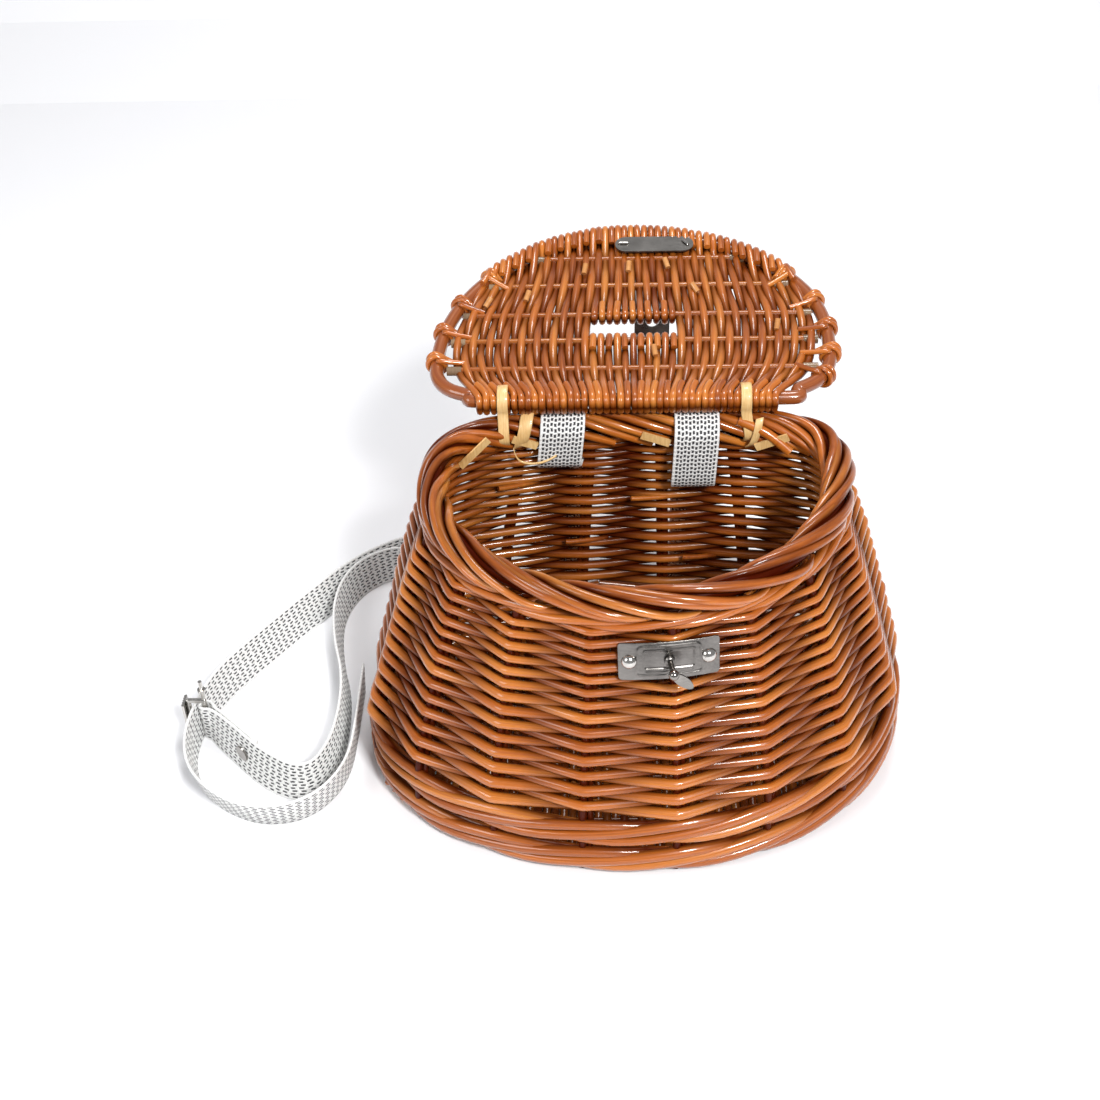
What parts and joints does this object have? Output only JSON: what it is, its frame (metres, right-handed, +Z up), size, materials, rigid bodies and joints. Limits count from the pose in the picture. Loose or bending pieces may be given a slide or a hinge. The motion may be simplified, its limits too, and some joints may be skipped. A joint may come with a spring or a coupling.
{
  "type": "fishing creel",
  "caption": "Woven willow fishing creel with a hinged lid standing open, slotted hasp and turn button latch, and a webbing shoulder strap with buckle.",
  "frame": {"origin": "middle of the foot, on the surface the basket stands on", "axes": "+Z up, -Y out of the front wall that carries the latch, +X to the right seen from the front"},
  "size_m": [0.4268, 0.3499, 0.2127],
  "materials": {
    "willow": "varnished",
    "dark_willow": "varnished",
    "pale_cane": "plain peeled cane",
    "plated_steel": "dull plated",
    "bright_steel": "polished",
    "webbing": "grey and white woven"
  },
  "bodies": {
    "basket": {"base_sticks": "dark_willow", "base_weave": "willow", "stakes": "dark_willow", "foot_wale": "willow", "wall_weave": "willow", "top_wale": "willow", "border": "willow", "hinge_tie_left": "pale_cane", "hinge_tie_right": "pale_cane", "cane_ends": "pale_cane", "latch_plate": "plated_steel", "latch_rivets": "bright_steel", "rivet_washers": "bright_steel", "strap_loop_left": "webbing", "strap_loop_right": "webbing", "strap_short": "webbing", "strap_long": "webbing", "strap_rivets": "bright_steel", "buckle_frame": "bright_steel", "buckle_plate": "bright_steel", "buckle_pin": "bright_steel"},
    "lid": {"lid_hoop": "dark_willow", "lid_hinge_rod": "dark_willow", "lid_sticks": "dark_willow", "lid_weave": "willow", "lid_side_wraps": "willow", "hasp_back_plate": "plated_steel", "hasp_hinge_plate": "plated_steel", "hasp_staples": "bright_steel", "hasp_pin": "plated_steel"},
    "hasp": {"hasp_leaf": "plated_steel"},
    "turn_button": {"turn_button": "plated_steel"}
  },
  "joints": [
    {"name": "lid_hinge", "type": "hinge", "parent": "basket", "child": "lid", "pos_m": [0, 0.0845, 0.1884], "axis": [1, 0, 0], "range_deg": [0, 173]},
    {"name": "hasp_hinge", "type": "hinge", "parent": "lid", "child": "hasp", "pos_m": [0.0145, 0.24572, 0.20054], "axis": [1, 0, 0], "range_deg": [-58, 177.5]},
    {"name": "turn_button_spin", "type": "hinge", "parent": "basket", "child": "turn_button", "pos_m": [0.01482, -0.07983, 0.14452], "axis": [0.1111, -0.9693, 0.2192], "continuous": true}
  ]
}
